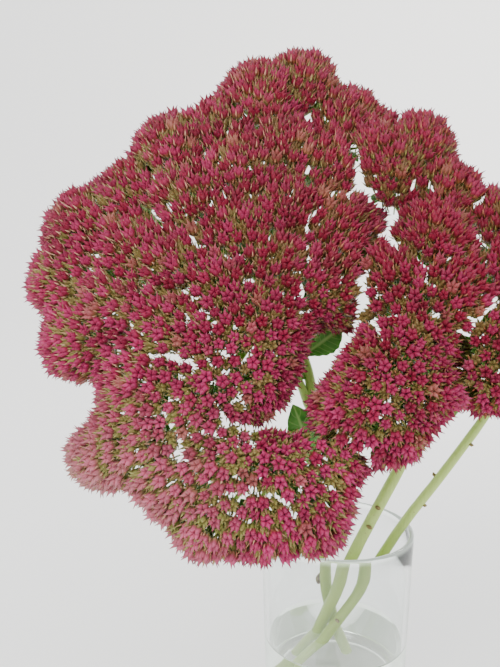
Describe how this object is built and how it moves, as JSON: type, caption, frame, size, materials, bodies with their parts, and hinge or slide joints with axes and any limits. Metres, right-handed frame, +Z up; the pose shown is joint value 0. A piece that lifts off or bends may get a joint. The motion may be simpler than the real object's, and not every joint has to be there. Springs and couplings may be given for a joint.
{
  "type": "cut sedum stems in a glass tumbler",
  "caption": "Leafy cut stems of Autumn Joy sedum with broad domed heads of pink star-shaped seed pods, standing in a clear glass tumbler of water.",
  "frame": {"origin": "middle of the underside of the glass tumbler", "axes": "+Z up; -Y towards the side that the flower heads lean to; +X to the right, seen from that side"},
  "size_m": [0.2805, 0.1545, 0.3599],
  "materials": {
    "clear_glass": "clear, polished",
    "still_water": "clear, still surface",
    "sedum_stem": "smooth, slightly waxy green",
    "sedum_corymb": "matt, deep pink to crimson"
  },
  "bodies": {
    "root": {"vase": "clear_glass", "water": "still_water", "stem_left": "sedum_stem", "stem_middle": "sedum_stem", "stem_right": "sedum_stem", "corymb_crest_1": "sedum_corymb", "corymb_crest_2": "sedum_corymb", "corymb_crest_3": "sedum_corymb", "corymb_far_side_1": "sedum_corymb", "corymb_far_side_2": "sedum_corymb", "corymb_far_side_3": "sedum_corymb", "corymb_far_side_4": "sedum_corymb", "corymb_far_top_1": "sedum_corymb", "corymb_far_top_2": "sedum_corymb", "corymb_far_top_3": "sedum_corymb", "corymb_heart_1": "sedum_corymb", "corymb_heart_2": "sedum_corymb", "corymb_heart_3": "sedum_corymb", "corymb_inner_1": "sedum_corymb", "corymb_inner_2": "sedum_corymb", "corymb_inner_3": "sedum_corymb", "corymb_left_1": "sedum_corymb", "corymb_left_2": "sedum_corymb", "corymb_left_3": "sedum_corymb", "corymb_left_4": "sedum_corymb", "corymb_left_5": "sedum_corymb", "corymb_lower_1": "sedum_corymb", "corymb_lower_2": "sedum_corymb", "corymb_lower_3": "sedum_corymb", "corymb_lower_4": "sedum_corymb", "corymb_lower_5": "sedum_corymb", "corymb_lower_6": "sedum_corymb", "corymb_lower_7": "sedum_corymb", "corymb_middle_1": "sedum_corymb", "corymb_middle_2": "sedum_corymb", "corymb_middle_3": "sedum_corymb", "corymb_middle_4": "sedum_corymb", "corymb_middle_5": "sedum_corymb", "corymb_middle_6": "sedum_corymb", "corymb_middle_7": "sedum_corymb", "corymb_shoulder_1": "sedum_corymb", "corymb_shoulder_2": "sedum_corymb", "corymb_shoulder_3": "sedum_corymb", "corymb_shoulder_4": "sedum_corymb", "corymb_side_1": "sedum_corymb", "corymb_side_2": "sedum_corymb", "corymb_skirt_1": "sedum_corymb", "corymb_skirt_2": "sedum_corymb", "corymb_skirt_3": "sedum_corymb", "corymb_skirt_4": "sedum_corymb", "corymb_top_1": "sedum_corymb", "corymb_top_2": "sedum_corymb", "corymb_top_3": "sedum_corymb", "corymb_upper_1": "sedum_corymb", "corymb_upper_2": "sedum_corymb", "corymb_upper_3": "sedum_corymb", "corymb_upper_4": "sedum_corymb", "corymb_upper_5": "sedum_corymb", "corymb_upper_6": "sedum_corymb", "corymb_upper_7": "sedum_corymb"}
  },
  "joints": []
}
